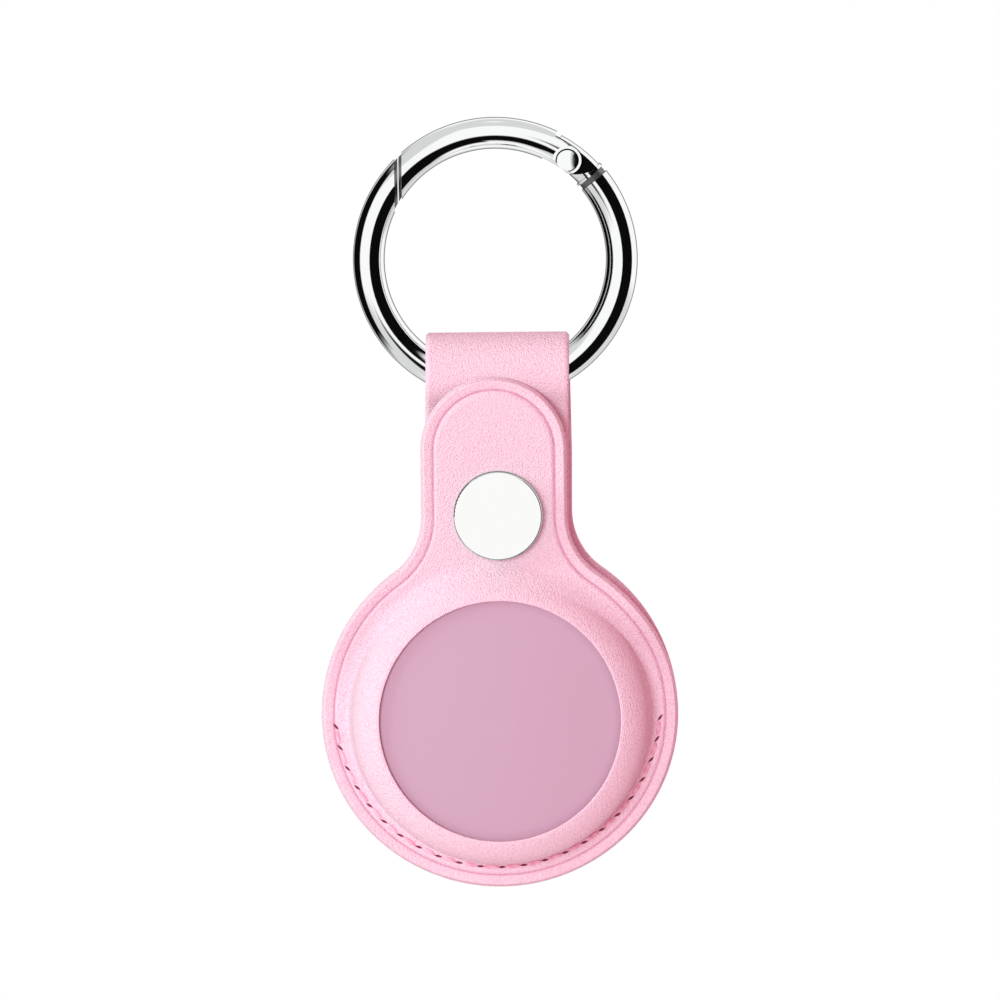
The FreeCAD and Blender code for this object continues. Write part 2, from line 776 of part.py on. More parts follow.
def tag_cover():
    cover = cylinder_y(cover_d / 2, cover_back_y - cover_t, cover_back_y, 0, panel_z)
    reach = cover_d / 2 + lug_reach
    for lug in lug_ring(reach, lug_back_y, lug_front_y, lug_angle, 0):
        cover = cover.fuse(lug)
    for index in range(lug_count):
        turn = math.radians(index * 360 / lug_count)
        x = grip_share * cover_d / 2 * math.cos(turn)
        z = panel_z + grip_share * cover_d / 2 * math.sin(turn)
        cover = cover.cut(cylinder_y(grip_d / 2, cover_back_y - grip_depth, cover_back_y + overrun, x, z))
    return cover.removeSplitter()


def tag_cell():
    can = cylinder_y(cell_d / 2, cell_front_y + cell_rim_t, cell_back_y, 0, panel_z)
    anode = cylinder_y(cell_d / 2 - cell_rim_inset, cell_front_y, cell_front_y + cell_rim_t, 0, panel_z)
    return can.fuse(anode).removeSplitter()


def tag_board():
    radius = cover_d / 2 + cover_gap - board_edge_gap
    board = cylinder_y(radius, board_front_y, board_back_y, 0, panel_z)
    hole = cylinder_y(board_hole_d / 2, board_front_y - overrun, board_back_y + overrun, 0, panel_z)
    return board.cut(hole)


def tag_contacts():
    leaves = []
    for index in range(lug_count):
        leaf = block(
            contact_share * cell_d / 2 - contact_len / 2,
            contact_share * cell_d / 2 + contact_len / 2,
            board_back_y,
            cell_front_y,
            panel_z - contact_w / 2,
            panel_z + contact_w / 2,
        )
        leaf.rotate(V(0, 0, panel_z), V(0, 1, 0), index * 360 / lug_count)
        leaves.append(leaf)
    return Part.makeCompound(leaves)


front_leather = front_sheet(lining_t, wall)
front_backing = front_sheet(0, lining_t)
parts = {
    "ring_body": ring_body(),
    "ring_gate": ring_gate(),
    "gate_pin": gate_pin(),
    "gate_plunger": gate_plunger(),
    "gate_spring": gate_spring(),
    "back_panel": back_sheet(lining_t, wall),
    "back_lining": back_sheet(0, lining_t),
    "front_panel": punched(below_bend(front_leather), -wall - overrun, overrun),
    "front_lining": punched(below_bend(front_backing), -wall - overrun, overrun),
    "front_flap": snap_hole(above_bend(front_leather), cap_post_d),
    "flap_lining": snap_hole(above_bend(front_backing), cap_post_d),
    "needle_thread": thread(-1),
    "bobbin_thread": thread(1),
    "snap_cap": snap_cap(),
    "snap_socket": snap_socket(),
    "snap_spring": snap_spring(),
    "snap_stud": snap_stud(),
    "snap_post": snap_post(),
    "tag_shell": tag_shell(),
    "tag_cover": tag_cover(),
    "tag_cell": tag_cell(),
    "tag_board": tag_board(),
    "tag_contacts": tag_contacts(),
}

os.makedirs("parts", exist_ok=True)
for name, shape in parts.items():
    shape.exportStep(os.path.join("parts", name + ".step"))
    box = shape.BoundBox
    print(
        name, len(shape.Solids), "valid" if shape.isValid() else "INVALID", round(shape.Volume, 2),
        [round(v, 2) for v in (box.XMin, box.XMax, box.YMin, box.YMax, box.ZMin, box.ZMax)],
    )
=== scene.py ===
import math
import bpy
import numpy as np
from mathutils import Matrix, Vector


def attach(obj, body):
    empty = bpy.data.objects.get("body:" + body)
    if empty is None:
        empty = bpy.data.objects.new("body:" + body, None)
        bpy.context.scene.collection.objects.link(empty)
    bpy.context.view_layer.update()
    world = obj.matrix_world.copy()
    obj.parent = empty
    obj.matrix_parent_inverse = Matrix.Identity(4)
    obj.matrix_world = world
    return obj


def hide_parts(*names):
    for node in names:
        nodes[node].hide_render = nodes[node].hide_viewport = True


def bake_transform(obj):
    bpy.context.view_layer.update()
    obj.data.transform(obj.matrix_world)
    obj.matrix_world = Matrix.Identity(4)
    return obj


# Tracker tag holder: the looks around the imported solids. Sizes are in millimetres until a mesh is made.
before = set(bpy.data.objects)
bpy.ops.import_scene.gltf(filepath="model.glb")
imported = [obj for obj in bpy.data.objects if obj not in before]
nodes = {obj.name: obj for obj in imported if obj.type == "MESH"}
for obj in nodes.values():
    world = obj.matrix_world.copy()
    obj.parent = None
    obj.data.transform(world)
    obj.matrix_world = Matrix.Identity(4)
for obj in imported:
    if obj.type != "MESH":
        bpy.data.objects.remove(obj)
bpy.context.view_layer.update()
MM = 0.001

# The leather's cut, in the solids' sizes
wall = 0.95
glue = 0.02
panel_z = -51.7
panel_half = 20.2
panel_foot = 19.735
shoulder_r = 8.0
flap_half = 8.25
arch_z = -21.2
strap_half = 8.1
tail_z = -33.7
tail_corner = 0.8
window_r = 13.65

# How far the flap and the strap lie off the centre line, and where over the pocket's middle that sets in
flap_skew = -0.42
strap_skew = 0.15
strap_twist = 0.2
skew_start = 4.0
skew_span = 16.0

# The front's moulded dome and the rise to its flap
bend_z = -51.1
ramp_z = -35.2
neck_depth = 4.725
round_centre_r = 12.35
round_centre_depth = 3.92
crest_depth = 8.305
dome_wall = 0.665
foot_w = 0.5
foot_side_w = 1.1
foot_side_power = 6
foot_inner_w = 0.3
foot_power = 2.2
foot_blend = 0.3
skirt_start_r = 13.2
skirt_r = 18.2

# The strap's fold over the ring
loop_z = -12.745
loop_r = 3.475
blend_r = 10.0

# The ring's wire and its groove, the hinge's angles, and the depths of the flats on tongue and fork
wire_mid_r = 14.3
groove_r = 1.6
groove_slack = 0.05
hinge_angles = (41.3, 70)
tongue_depths = (0.6, 0.7)
fork_depths = (1.2, 1.3)
square_on = 0.9  # least cosine of a face that looks straight along a direction

# The seam
stitch_r = 18.465
stitch_rise = 1.05
stitch_skew = -0.27
stitch_holes = 23
stitch_proud = 0.02
seam_right_angle = 4.9
seam_left_angle = 7.0
thread_r = 0.22
thread_dive = 0.3
thread_waist = 0.35
thread_rows = (-0.85, -0.6, -0.3, 0, 0.3, 0.6, 0.85)
slit_l = 1.05
slit_w = 0.28
slit_depth = 0.03
slit_gap = 0.55
slit_lean = 0.65  # of the seam's own slope

# How the leather's edges are finished
crease_inset = 1.4
crease_depth = 0.12
crease_w = 0.17
# how wide the painted shade along the crease is
crease_shade_w = 0.09
rim_fall = 0.15
rim_back = 0.35
bead_round = 0.15
bead_lean = 0.33
strap_round = 0.5
under_round = 0.12
window_round = 0.1

# Rows and points of the leather's meshes
crease_insets = (
    *(1.75, 1.65, 1.57, 1.51, 1.46, 1.43, 1.4, 1.37, 1.34, 1.29, 1.23, 1.14),
    *(1.02, 0.9, 0.78, 0.66, 0.57),
)
plain_insets = (0.75, 0.66, 0.57)  # within the strap's corner, or its rows would cross there
wall_shares = (0.33, 0.67, 1)
foot_shares = (0.02, 0.05, 0.09, 0.14, 0.2, 0.27, 0.35, 0.45, 0.57, 0.72, 0.86)
middle_shares = (0.25, 0.5, 0.75, 1)
window_angles = (90, 60, 30)
edge_rows = 8
under_edge_rows = 4
dome_rows = 18
flange_rows = 30
under_rows = 12
inner_rows = 8
arc_points = 120
upper_points = 160
shoulder_points = 80
corner_points = 12
front_points = 261
back_points = 321
weld_m = 1e-6


def linear(code):
    # An sRGB hex colour as the linear colour that a shader takes.
    values = [int(code[i : i + 2], 16) / 255 for i in (1, 3, 5)]
    return [v / 12.92 if v <= 0.04045 else ((v + 0.055) / 1.055) ** 2.4 for v in values] + [1.0]


def add(tree, kind, inputs=None, **settings):
    # One node, with its settings, and each input set to a value or linked to another node's output.
    made = tree.nodes.new(kind)
    for name, value in settings.items():
        setattr(made, name, value)
    for name, value in (inputs or {}).items():
        if isinstance(value, bpy.types.NodeSocket):
            tree.links.new(value, made.inputs[name])
        else:
            made.inputs[name].default_value = value
    return made


def new_material(name, **sockets):
    # A material whose shader has the given values on its own sockets.
    material = bpy.data.materials.new(name)
    material.use_nodes = True
    shader = material.node_tree.nodes["Principled BSDF"]
    for socket, value in sockets.items():
        shader.inputs[socket.replace("_", " ")].default_value = value
    return material, material.node_tree, shader


# Materials


def place_on(tree):
    return add(tree, "ShaderNodeTexCoord").outputs["Object"]


def grain(tree, size_mm, detail=2.0):
    # Noise whose spots are size_mm apart.
    pattern = {"Vector": place_on(tree), "Scale": 1 / (size_mm * MM), "Detail": detail}
    return add(tree, "ShaderNodeTexNoise", pattern).outputs["Fac"]


def mixed(tree, share, first, second):
    # Two colours mixed by a pattern: the first is a hex colour or another mix, the second a hex colour.
    start = linear(first) if isinstance(first, str) else first
    colours = {"Factor": share, 6: start, 7: linear(second)}
    return add(tree, "ShaderNodeMix", colours, data_type="RGBA").outputs[2]


def coloured(tree, shader, colour):
    tree.links.new(colour, shader.inputs["Base Color"])


def raised(tree, shader, pattern, strength, height_mm, invert=False):
    # The pattern as a relief, height_mm high at full strength.
    relief = {"Height": pattern, "Strength": strength, "Distance": height_mm * MM}
    bump = add(tree, "ShaderNodeBump", relief, invert=invert)
    tree.links.new(bump.outputs["Normal"], shader.inputs["Normal"])


def pebbled_leather():
    # Pink split leather with an embossed fine pebble: soft satin, tiny cells, paler on the high spots.
    # The crease line gets a deeper rose, where the piece's creased attribute says: painted shade in the
    # pressed line.
    cell_mm, relief_mm = 0.18, 0.13
    material, tree, shader = new_material("pebbled_pink_leather", Roughness=0.52, Specular_IOR_Level=0.35)
    pattern = {"Vector": place_on(tree), "Scale": 1 / (cell_mm * MM), "Randomness": 1.0}
    cells = add(tree, "ShaderNodeTexVoronoi", pattern, feature="SMOOTH_F1").outputs["Distance"]
    tint = add(tree, "ShaderNodeMapRange", {"Value": cells, "From Min": 0.15, "From Max": 0.7})
    colour = mixed(tree, tint.outputs["Result"], "#FFDCE8", "#F3C5D7")
    # Painted shade: a deeper rose along the crease line
    line = add(tree, "ShaderNodeAttribute", attribute_name="creased")
    coloured(tree, shader, mixed(tree, line.outputs["Fac"], colour, "#E3A0BA"))
    raised(tree, shader, cells, 1.0, relief_mm, invert=True)
    return material


def microfibre():
    # Brushed microfibre backing: dull pink with a short nap that scatters at the edges.
    nap_mm, relief_mm = 0.4, 0.05
    looks = {"Roughness": 0.95, "Sheen_Weight": 0.3, "Specular_IOR_Level": 0.1}
    material, tree, shader = new_material("brushed_microfibre_lining", **looks)
    nap = grain(tree, nap_mm, 4.0)
    coloured(tree, shader, mixed(tree, nap, "#E39AB4", "#F0B3C8"))
    raised(tree, shader, nap, 0.3, relief_mm)
    return material


def sewing_thread():
    # Twisted polyester: satin strands that wind round the thread, a little redder than the leather.
    strand_mm, relief_mm = 0.35, 0.03
    material, tree, shader = new_material("twisted_polyester_thread", Roughness=0.6)
    pattern = {"Vector": place_on(tree), "Scale": 1 / (strand_mm * MM) / math.tau, "Distortion": 0.4}
    twist = add(tree, "ShaderNodeTexWave", pattern, bands_direction="DIAGONAL").outputs["Fac"]
    coloured(tree, shader, mixed(tree, twist, "#F2A6C0", "#FBC3D6"))
    raised(tree, shader, twist, 0.4, relief_mm)
    return material


def slit_shade():
    # The needle's slit: painted shade, a dark maroon for raw leather in deep shade.
    fuzz_mm = 0.2
    material, tree, shader = new_material("painted_shade_in_needle_slits", Roughness=0.9)
    coloured(tree, shader, mixed(tree, grain(tree, fuzz_mm), "#7A2440", "#9A3A58"))
    return material


def metal(name, dark, light, roughness, grain_mm, spread):
    # A plated or drawn metal: its colour is nearly even, and its gloss varies a little along the surface.
    material, tree, shader = new_material(name, Metallic=1.0)
    wear = grain(tree, grain_mm, 3.0)
    coloured(tree, shader, mixed(tree, wear, dark, light))
    limits = {"Value": wear, "To Min": roughness, "To Max": roughness + spread}
    gloss = add(tree, "ShaderNodeMapRange", limits)
    tree.links.new(gloss.outputs["Result"], shader.inputs["Roughness"])
    return material


def moulded_plastic(name, dark, light, roughness, grain_mm):
    # Moulded plastic with a fine spark-eroded texture: even colour and a soft satin.
    relief_mm = 0.01
    material, tree, shader = new_material(name, Roughness=roughness)
    grit = grain(tree, grain_mm)
    coloured(tree, shader, mixed(tree, grit, dark, light))
    raised(tree, shader, grit, 0.05, relief_mm)
    return material


leather = pebbled_leather()
lining = microfibre()
thread = sewing_thread()
slit = slit_shade()
# Mirror-bright plate on ring and snap. Painted shade: near-black metal in the ring's cuts and recesses, grey
# in its groove
recess = metal("painted_shade_in_recesses", "#141416", "#1C1C1E", 0.5, 0.4, 0.1)
groove = metal("painted_shade_in_grooves", "#77787A", "#8B8C8E", 0.35, 0.4, 0.1)
chrome = metal("polished_chrome_on_zinc", "#F6F7F8", "#FAFBFB", 0.03, 3.0, 0.02)
nickel = metal("bright_nickel_plate", "#F9F9F8", "#FCFCFB", 0.06, 1.0, 0.03)
wire = metal("drawn_spring_wire", "#9C9DA0", "#B9BABC", 0.25, 0.5, 0.1)
# The tag: a satin mauve face, and greyer metals, warm contacts and a green board inside
stainless = metal("polished_stainless_cover", "#C9CACB", "#D8D9DA", 0.12, 1.5, 0.05)
cell_can = metal("nickelled_cell_can", "#C4C4C2", "#D2D2D0", 0.2, 1.0, 0.06)
bronze = metal("gold_flashed_bronze", "#C9A04C", "#DDB866", 0.22, 0.6, 0.06)
mauve = moulded_plastic("moulded_mauve_abs", "#CAA4B8", "#CEA8BC", 0.55, 0.25)
laminate = moulded_plastic("solder_masked_laminate", "#1D5A38", "#246844", 0.4, 0.3)

node_materials = {
    "ring_body": chrome,
    "ring_gate": chrome,
    "gate_pin": chrome,
    "gate_plunger": wire,
    "gate_spring": wire,
    "snap_cap": nickel,
    "snap_socket": nickel,
    "snap_spring": wire,
    "snap_stud": nickel,
    "snap_post": nickel,
    "tag_shell": mauve,
    "tag_cover": stainless,
    "tag_cell": cell_can,
    "tag_board": laminate,
    "tag_contacts": bronze,
}
for node, material in node_materials.items():
    nodes[node].data.materials.clear()
    nodes[node].data.materials.append(material)


def paint_recess_shade(node, flat_depths):
    # The wire's cut faces, and the flats that look forward or back between two depths, are near black:
    # painted shade. The groove round the wire, away from the hinge, is grey: painted shade in the groove.
    mesh = nodes[node].data
    mesh.materials.append(recess)
    mesh.materials.append(groove)
    for face in mesh.polygons:
        x, y, z = face.center / MM
        radius = math.hypot(x, z)
        turned = math.degrees(math.atan2(z, x))
        grooved = abs(math.hypot(radius - wire_mid_r, y) - groove_r) < groove_slack
        if grooved and not hinge_angles[0] < turned < hinge_angles[1]:
            face.material_index = 2
        along = (face.normal.z * x - face.normal.x * z) / radius
        sunk = abs(face.normal.y) > square_on and flat_depths[0] < abs(y) < flat_depths[1]
        if abs(along) > square_on or sunk:
            face.material_index = 1


paint_recess_shade("ring_body", tongue_depths)
paint_recess_shade("ring_gate", fork_depths)

# Outlines of the leather


def turn(cx, cz, radius, start, end, count):
    # Points along an arc, from one angle to another.
    angles = np.radians(np.linspace(start, end, count))
    return np.column_stack([cx + radius * np.cos(angles), cz + radius * np.sin(angles)])


def lower_half():
    # The right half of the round foot, from the bottom up to the pocket's centre line, in two arcs.
    eighth = math.tan(math.radians(22.5))
    side_r = (panel_foot - eighth * panel_half) / (1 - eighth)
    diagonal = math.sqrt(0.5)
    bottom_r = (panel_half - side_r * (1 - diagonal)) / diagonal
    bottom = turn(0, panel_z - panel_foot + bottom_r, bottom_r, -90, -45, arc_points)
    side = turn(panel_half - side_r, panel_z, side_r, -45, 0, arc_points)
    return np.vstack([bottom, side[1:]])


def right_side(neck):
    # The foot's half, on up the round, and through the hollow shoulder to the straight neck.
    centre_x = neck + shoulder_r
    rise = math.sqrt((panel_half + shoulder_r) ** 2 - centre_x**2)
    leave = math.degrees(math.atan2(rise, centre_x))
    upper = turn(0, panel_z, panel_half, 0, leave, upper_points)
    shoulder = turn(centre_x, panel_z + rise, shoulder_r, leave + 180, 180, shoulder_points)
    return np.vstack([lower_half(), upper[1:], shoulder[1:]])


def evenly(points, count):
    # The same line with its points evenly spaced.
    steps = np.hypot(*np.diff(points, axis=0).T)
    along = np.concatenate([[0], np.cumsum(steps)])
    at = np.linspace(0, along[-1], count)
    return np.column_stack([np.interp(at, along, points[:, i]) for i in (0, 1)])


def eased(share):
    return share * share * (3 - 2 * share)


def mirrored_loop(half, skew):
    # Both halves of an outline, anticlockwise, with the neck moved off the centre line.
    left = half[-2:0:-1] * [-1, 1]
    loop = np.vstack([half, left])
    loop[:, 0] += skew * eased(np.clip((loop[:, 1] - panel_z - skew_start) / skew_span, 0, 1))
    return loop


def outward(loop):
    # The outline's outward direction at each point.
    along = np.roll(loop, -1, axis=0) - np.roll(loop, 1, axis=0)
    normal = np.column_stack([along[:, 1], -along[:, 0]])
    return normal / np.linalg.norm(normal, axis=1)[:, None]


def edge_profile(edge_round, edge_lean, creased):
    # The cut edge, from the crease on the outer face round to the under side: (inset, drop) pairs.
    # The knife leans, so that the outer face ends edge_lean inside the under side.
    low = wall - under_round
    steep = math.atan2(low, edge_lean)
    shoulder = edge_lean + edge_round * math.tan(steep / 2)
    pairs = []
    for inset in crease_insets if creased else plain_insets:
        pressed = crease_depth * math.exp(-(((inset - crease_inset) / crease_w) ** 2))
        past = max(0, inset - crease_inset) / rim_back
        fall = rim_fall * (max(0, inset - shoulder) / (crease_inset - shoulder) if past == 0 else 1 - past)
        pairs.append((inset, pressed + fall if creased else 0))
    for angle in np.linspace(0, steep, edge_rows):
        pairs.append((shoulder - edge_round * math.sin(angle), edge_round * (1 - math.cos(angle))))
    corner_inset, corner_drop = pairs[-1]
    for share in wall_shares:
        pairs.append((corner_inset * (1 - share), corner_drop + (low - corner_drop) * share))
    for angle in np.radians(np.linspace(0, 90, under_edge_rows + 1))[1:]:
        pairs.append((under_round * (1 - math.cos(angle)), low + under_round * math.sin(angle)))
    return pairs


def sealed(piece):
    # Joins the points that meet, turns the faces outward and smooths them.
    bpy.ops.object.mode_set(mode="EDIT")
    bpy.ops.mesh.select_all(action="SELECT")
    bpy.ops.mesh.remove_doubles(threshold=weld_m)
    bpy.ops.mesh.normals_make_consistent(inside=False)
    bpy.ops.object.mode_set(mode="OBJECT")
    bpy.ops.object.shade_smooth()
    return piece


def skin(name, loops, closed, lined, crease_shade):
    # A grid, wrapped round so that its columns run round the outline and its rows follow the loops.
    # From row number lined on, it's the backing. Each row gets its given share of painted shade along the
    # crease.
    count = len(loops[0])
    rows = len(loops) if closed else len(loops) - 1
    bpy.ops.object.select_all(action="DESELECT")
    bpy.ops.mesh.primitive_grid_add(x_subdivisions=count, y_subdivisions=rows, size=1)
    piece = bpy.context.object
    piece.name = name
    piece.data.name = name
    flat = np.zeros(len(piece.data.vertices) * 3)
    piece.data.vertices.foreach_get("co", flat)
    flat = flat.reshape(-1, 3)
    column = np.rint((flat[:, 0] + 0.5) * count).astype(int) % count
    row = np.rint((flat[:, 1] + 0.5) * rows).astype(int) % len(loops)
    corners = np.zeros(len(piece.data.loops), dtype=int)
    piece.data.loops.foreach_get("vertex_index", corners)
    strip = ((flat[corners.reshape(-1, 4), 1] + 0.5) * rows).mean(axis=1)
    piece.data.materials.append(leather)
    piece.data.materials.append(lining)
    piece.data.polygons.foreach_set("material_index", (strip > lined).astype(int))
    stacked = np.array(loops) * MM
    piece.data.vertices.foreach_set("co", stacked[row, column].ravel())
    piece.data.update()
    shares = np.array(crease_shade)[row].astype(np.float32)
    piece.data.attributes.new("creased", "FLOAT", "POINT").data.foreach_set("value", shares)
    return sealed(piece)


def cut_sheet(piece):
    # Returns the leather as it is; its outline is the rim of the flat blank that it's cut from.
    return piece


# Front leather with its moulded dome, window and flap


def smooth_max(a, b, width):
    near = np.maximum(width - np.abs(a - b), 0) / width
    return np.maximum(a, b) + near * near * width / 4


def front_depth(points, inside):
    # How far the front stands forward, on its outer face or on its inner one.
    x, z = points[:, 0], points[:, 1]
    share = np.clip((z - bend_z) / (ramp_z - bend_z), 0, 1)
    slope = np.where(share < 0.5, 2 * share**2, 1 - 2 * (1 - share) ** 2)
    base = neck_depth * slope + (0 if inside else wall)
    radius = np.hypot(x, z - panel_z)
    round_r = crest_depth - round_centre_depth - (dome_wall if inside else 0)
    reach = np.clip((radius - round_centre_r) / round_r, 0, 1)
    crest = round_centre_depth + round_r * np.sqrt(1 - reach**2)
    sideways = np.abs(x) / np.maximum(radius, 1)
    spread = foot_inner_w if inside else foot_w + (foot_side_w - foot_w) * sideways**foot_side_power
    foot = np.clip((radius - round_centre_r - round_r) / spread, 0, 1)
    depth = smooth_max(base, crest * (1 - foot) ** foot_power, foot_blend)
    if inside:
        return depth
    # Above the bend, the leather leans from the dome to the flap in a soft skirt.
    near = np.clip((skirt_r - radius) / (skirt_r - skirt_start_r), 0, 1)
    return np.maximum(depth, base + (crest_depth - base) * eased(near) * slope)


def front_cover():
    # From the window's edge over the dome and the flange to the cut edge, and back along the under side.
    half = np.vstack([right_side(flap_half), turn(0, arch_z, flap_half, 0, 90, arc_points)])
    rim = mirrored_loop(evenly(half, front_points), flap_skew)
    normal = outward(rim)
    profile = edge_profile(bead_round, bead_lean, True)
    profile_inset = profile[0][0]
    pocket = np.array([0, panel_z])
    ray = rim - normal * profile_inset - pocket
    reach = np.linalg.norm(ray, axis=1)[:, None]
    ray /= reach
    dome_r = round_centre_r + crest_depth - round_centre_depth
    inner_r = dome_r - dome_wall

    def lifted(points, drop, inside=False):
        return np.column_stack([points[:, 0], drop - front_depth(points, inside), points[:, 1]])

    def window_edge(angle):
        ring = pocket + ray * (window_r + window_round * (1 - math.sin(angle)))
        lip = lifted(pocket + ray * (window_r + window_round), window_round * (1 - math.cos(angle)))
        return np.column_stack([ring[:, 0], lip[:, 1], ring[:, 1]])

    def on_round(outer_r, angle, inside):
        radius = round_centre_r + (outer_r - round_centre_r) * math.sin(angle)
        return lifted(pocket + ray * radius, 0, inside)

    loops = [window_edge(math.radians(angle)) for angle in window_angles]
    first = math.asin((window_r + window_round - round_centre_r) / (dome_r - round_centre_r))
    loops += [on_round(dome_r, angle, False) for angle in np.linspace(first, math.pi / 2, dome_rows)]
    loops += [lifted(pocket + ray * (dome_r + foot_side_w * share), 0) for share in foot_shares]
    base_r = dome_r + foot_side_w
    for share in np.linspace(0, 1, flange_rows)[:-1]:
        loops.append(lifted(pocket + ray * (base_r + (reach - base_r) * share), 0))
    loops += [lifted(rim - normal * inset, drop) for inset, drop in profile]
    lined = len(loops)
    # The cut edge's rows near the crease get painted shade, most at its middle
    crease_shade = [0.0] * (lined - len(profile))
    crease_shade += [math.exp(-(((inset - crease_inset) / crease_shade_w) ** 2)) for inset, _ in profile]
    under_r = inner_r + foot_inner_w
    for share in np.linspace(0, 1, under_rows)[1:]:
        if share < 0.5:
            under = rim - normal * (under_round + (profile_inset - under_round) * share * 2)
        else:
            under = pocket + ray * (under_r + (reach - under_r) * (1 - share))
        loops.append(lifted(under, 0, True))
    last = math.asin((window_r - round_centre_r) / (inner_r - round_centre_r))
    loops += [on_round(inner_r, angle, True) for angle in np.linspace(math.pi / 2, last, inner_rows)]
    crease_shade += [0.0] * (len(loops) - lined)
    piece = skin("front_cover", loops, True, lined, crease_shade)
    return cut_sheet(piece)


# Back leather with the strap that folds over the ring


def fold_path():
    # Lengths along the blank at which it starts to bend, wrap and come down again.
    drop = math.sqrt(loop_r * (2 * blend_r + loop_r))
    lean = math.atan2(drop, blend_r)
    blend_z = loop_z - drop
    lengths = [
        blend_z - panel_z + panel_foot,
        blend_r * lean,
        loop_r * (math.pi + 2 * lean),
        blend_r * lean,
        blend_z - tail_z,
    ]
    return np.cumsum([0] + lengths), lean, blend_z


def folded(points, lift):
    # Points of the flat blank, (x, length along it), lifted off its inner face and folded into place.
    marks, lean, blend_z = fold_path()
    up = lift + glue
    result = []
    for x, s in points:
        if s <= marks[1]:
            y, z = up, panel_z - panel_foot + s
        elif s <= marks[2]:
            angle = (s - marks[1]) / blend_r
            y = blend_r - (blend_r - up) * math.cos(angle)
            z = blend_z + (blend_r - up) * math.sin(angle)
        elif s <= marks[3]:
            angle = (s - marks[2]) / loop_r - lean
            y = (loop_r + up) * math.cos(angle)
            z = loop_z + (loop_r + up) * math.sin(angle)
        elif s <= marks[4]:
            angle = lean - (s - marks[3]) / blend_r
            y = (blend_r - up) * math.cos(angle) - blend_r
            z = blend_z + (blend_r - up) * math.sin(angle)
        else:
            y, z = -up, blend_z - (s - marks[4])
        result.append((x, y, z))
    return np.array(result)


def back_cover():
    # From the strap's middle line out to the cut edge, and back along the under side.
    marks = fold_path()[0]
    end = marks[-1]
    foot = np.array([0, panel_z - panel_foot])
    tail = turn(strap_half - tail_corner, end - tail_corner, tail_corner, 0, 90, corner_points)
    half = evenly(np.vstack([right_side(strap_half) - foot, tail, [[0, end]]]), back_points)
    rim = mirrored_loop(half + foot, strap_skew) - foot
    twisted = [panel_foot + skew_start, marks[1], marks[4]]
    rim[:, 0] += np.interp(rim[:, 1], twisted, [0, strap_twist, -strap_twist])
    normal = outward(rim)
    profile = edge_profile(strap_round, 0, False)
    middle_s = np.clip(rim[:, 1], panel_foot, end - strap_half)
    middle = np.column_stack([np.full(len(rim), strap_skew), middle_s])
    start = rim - normal * profile[0][0]
    loops = [folded(start + (middle - start) * share, wall) for share in reversed(middle_shares)]
    loops += [folded(rim - normal * inset, wall - drop) for inset, drop in profile]
    lined = len(loops)
    last = rim - normal * profile[-1][0]
    loops += [folded(last + (middle - last) * share, 0) for share in middle_shares]
    piece = skin("back_cover", loops, False, lined, [0.0] * len(loops))
    return cut_sheet(piece)


front = front_cover()
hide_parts("front_panel", "front_lining", "front_flap", "flap_lining")
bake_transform(front)
back = back_cover()
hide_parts("back_panel", "back_lining")
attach(back, "holder")
# The chrome mirrors the studio alone, as in the photograph.
for piece in (front, back, nodes["tag_shell"]):
    piece.visible_glossy = False

# Stitches


def stitch(length):
    # One stitch along X: a plump thread whose ends dive into the needle's holes.
    bpy.ops.object.select_all(action="DESELECT")
    radius = thread_r * MM
    bpy.ops.mesh.primitive_cylinder_add(vertices=12, radius=radius, depth=length, end_fill_type="TRIFAN")
    piece = bpy.context.object
    bpy.ops.object.mode_set(mode="EDIT")
    for share in thread_rows:
        bpy.ops.mesh.select_all(action="SELECT")
        bpy.ops.mesh.bisect(plane_co=(0, 0, share * length / 2), plane_no=(0, 0, 1))
    bpy.ops.object.mode_set(mode="OBJECT")
    for vertex in piece.data.vertices:
        share = abs(vertex.co.z) / (length / 2)
        waist = 1 - thread_waist * share**4
        x, y, z = vertex.co
        vertex.co = (z, y * waist + thread_dive * MM * share**3, x * waist)
    piece.data.materials.append(thread)
    return piece


def needle_slit():
    # One slit along X, pointed at both ends, that the needle left under the thread: a thin dark patch of
    # painted shade.
    bpy.ops.object.select_all(action="DESELECT")
    bpy.ops.mesh.primitive_uv_sphere_add(segments=20, ring_count=8, radius=1)
    piece = bpy.context.object
    for vertex in piece.data.vertices:
        x, y, z = vertex.co
        vertex.co = (x * slit_l * MM / 2, y * slit_depth * MM, z * slit_w * MM / 2 * (1 - x * x))
    piece.data.materials.append(slit)
    return piece


def placed(piece, spot, angle, face_y, side):
    # Moves a piece made along X onto the seam, on the face that looks to that side.
    flip = Matrix.Diagonal((1, -side, 1, 1))
    where = Matrix.Translation((spot[0] * MM, face_y * MM, spot[1] * MM))
    piece.data.transform(where @ Matrix.Rotation(-angle, 4, "Y") @ flip)
    return piece


def seam(name, face_y, side, replaced):
    # The needle's holes, evenly spaced from the right end of the seam round to the left end, and a stitch
    # from each to the next.
    ends = (-seam_right_angle, seam_left_angle - 180)
    holes = turn(stitch_skew, panel_z + stitch_rise, stitch_r, *ends, stitch_holes)
    along = np.gradient(holes, axis=0)
    slopes = np.arctan(along[:, 1] / along[:, 0])
    pieces = []
    for start, end in zip(holes, holes[1:]):
        run = end - start
        piece = stitch((float(np.hypot(*run)) - slit_gap) * MM)
        pieces.append(placed(piece, (start + end) / 2, math.atan2(run[1], run[0]), face_y, side))
    for hole, slope in zip(holes, slopes):
        pieces.append(placed(needle_slit(), hole, slope * slit_lean, face_y, side))
    bpy.ops.object.select_all(action="DESELECT")
    for piece in pieces:
        piece.select_set(True)
    bpy.context.view_layer.objects.active = pieces[0]
    bpy.ops.object.join()
    joined = sealed(bpy.context.object)
    joined.name = name
    joined.data.name = name
    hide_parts(replaced)
    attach(joined, "holder")


seam("front_stitches", -wall - stitch_proud, -1, "needle_thread")
seam("back_stitches", wall + glue + stitch_proud, 1, "bobbin_thread")

